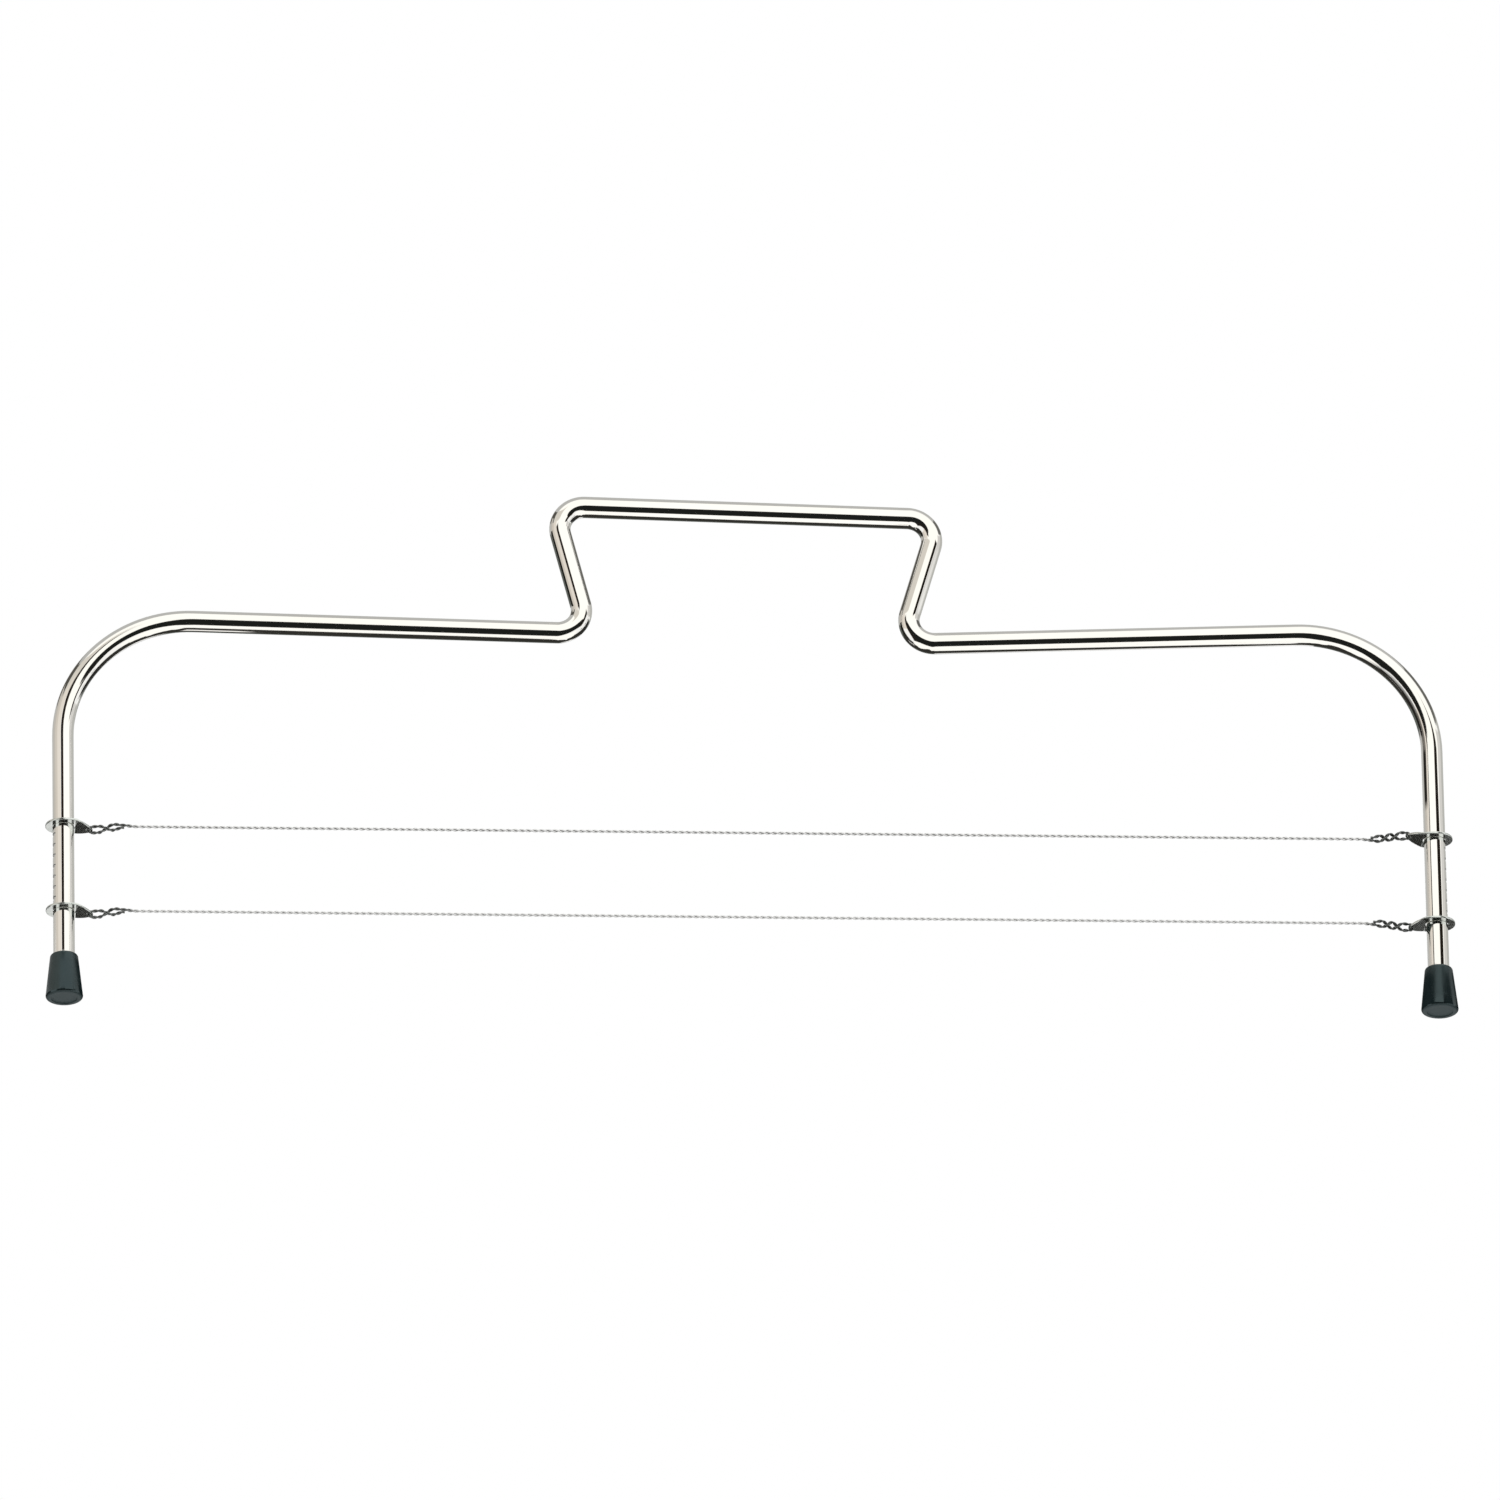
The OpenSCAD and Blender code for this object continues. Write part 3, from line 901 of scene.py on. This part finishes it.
def bandPoint(b, u, v):
    edges = b["edges"]
    x = between((edges[0][0], edges[-1][0]), u)
    left, right = next((p, q) for p, q in zip(edges, edges[1:]) if x <= q[0] + cardDefaults["slack"])
    share = (x - left[0]) / (right[0] - left[0])
    turn = math.radians(between([between((left[i], right[i]), share) for i in (1, 2)], v))
    return (x, -b["away"] * math.cos(turn), cardDefaults["bandHeight"] + b["away"] * math.sin(turn))


def wallPoint(w, u, v):
    turn = math.radians(between(w["turn"], u))
    slope = between([math.tan(math.radians(rise)) for rise in w["rise"]], v)
    x, y, z = w["about"]
    return (x + w["away"] * math.sin(turn), y - w["away"] * math.cos(turn), z + w["away"] * slope)


def screenPoint(s, u, v):
    return (between(s["x"], u), s["y"], between(s["z"], v))


def cardMaterial(name, shade):
    material, start = newMaterial(name)
    glow = start.node("ShaderNodeEmission", {}, {"Color": (*shade, 1)})
    clear = start.node("ShaderNodeBsdfTransparent")
    finishMaterial(start, start.node("ShaderNodeMixShader", {}, {
        0: attribute(start, "cover", "Fac"), 1: clear, 2: glow}))
    material.cycles.emission_sampling = "NONE"
    return material


def addCard(name, settings, pointAt):
    steps = settings.get("steps", cardDefaults["steps"])
    row = steps + 1
    shares = [i / steps for i in range(row)]
    mesh = bpy.data.meshes.new(name)
    mesh.from_pydata(
        [pointAt(settings, u, v) for u in shares for v in shares], [],
        [(i * row + j, i * row + j + 1, (i + 1) * row + j + 1, (i + 1) * row + j)
         for i in range(steps) for j in range(steps)])
    cover = mesh.attributes.new("cover", "FLOAT", "POINT")   # fades out towards the card's edges
    edge = [min(u, 1 - u, v, 1 - v) / settings["soft"] for u in shares for v in shares]
    cover.data.foreach_set("value", [min(1.0, e) for e in edge])
    mesh.materials.append(cardMaterial(name, settings["shade"]))
    card = addObject(name, mesh)
    card.visible_camera = card.visible_diffuse = card.visible_shadow = False
    card.visible_transmission = card.visible_volume_scatter = False


for cards, pointAt in ((bands, bandPoint), (walls, wallPoint), (screens, screenPoint)):
    for name, settings in cards.items():
        addCard(name, settings, pointAt)
print("cards placed:", len(bands) + len(walls) + len(screens))

studio = {
    "ambient": 0.55,
    "floorShade": (0.9, 0.9, 0.9, 1),
    "floorRadius": 3.0,
    "floorSides": 96,
    "floorDrop": 0.0002,         # below the feet
    "floorFade": (0.5, 1.6),
    "aim": (0, 0, 0.05),
    "lamps": {
        "keyLamp": {"place": (-0.9, -1.1, 1.5), "size": 1.0, "power": 14},
        "fillLamp": {"place": (1.2, -0.8, 1.0), "size": 1.2, "power": 7},
        "backLamp": {"place": (0.3, 1.3, 1.2), "size": 1.2, "power": 6},
    },
}


def makeWorld(s):  # white where it is seen directly or in a reflection, dimmer as light
    world = bpy.data.worlds.new("studio")
    bpy.context.scene.world = world
    world.use_nodes = True
    world.node_tree.nodes.clear()
    start = Signal(world.node_tree)
    direct = start.node("ShaderNodeLightPath", {}, {}, "Is Camera Ray")
    white = mathOf(start, "MAXIMUM", direct, direct.also("Is Glossy Ray"))
    white = mathOf(start, "MAXIMUM", white, direct.also("Is Transmission Ray"))
    back = start.node("ShaderNodeBackground", {}, {
        "Color": (1, 1, 1, 1), "Strength": white * (1 - s["ambient"]) + s["ambient"]})
    start.node("ShaderNodeOutputWorld", {}, {"Surface": back})


def makeFloor(s):  # fades out away from the object, and is clear from below
    material, start = newMaterial("paleFloor")
    away = vectorMath(start, "LENGTH", objectPlace(start), out="Value")
    fade = spread(start, away, s["floorFade"])
    under = start.node("ShaderNodeNewGeometry", {}, {}, "Backfacing")
    solid = start.node("ShaderNodeBsdfDiffuse", {}, {"Color": s["floorShade"]})
    clear = start.node("ShaderNodeBsdfTransparent")
    finishMaterial(start, start.node("ShaderNodeMixShader", {}, {
        0: mathOf(start, "MAXIMUM", fade, under), 1: solid, 2: clear}))
    mesh = bpy.data.meshes.new("paleFloor")
    shape = bmesh.new()
    bmesh.ops.create_circle(shape, cap_ends=True, segments=s["floorSides"], radius=s["floorRadius"])
    shape.to_mesh(mesh)
    shape.free()
    mesh.materials.append(material)
    floor = addObject("paleFloor", mesh)
    floor.location.z = -s["floorDrop"]
    floor.visible_diffuse = floor.visible_glossy = False
    floor.visible_shadow = floor.visible_transmission = False


def addLamp(name, settings, aim):
    data = bpy.data.lights.new(name, "AREA")
    data.shape, data.size, data.energy = "DISK", settings["size"], settings["power"]
    lamp = addObject(name, data)
    lamp.location = settings["place"]
    toAim = Vector(aim) - lamp.location
    lamp.rotation_euler = toAim.to_track_quat("-Z", "Y").to_euler()
    lamp.visible_glossy = False


makeWorld(studio)
makeFloor(studio)
for name, settings in studio["lamps"].items():
    addLamp(name, settings, studio["aim"])
bpy.context.scene.view_settings.view_transform = "Standard"
print("studio lit")
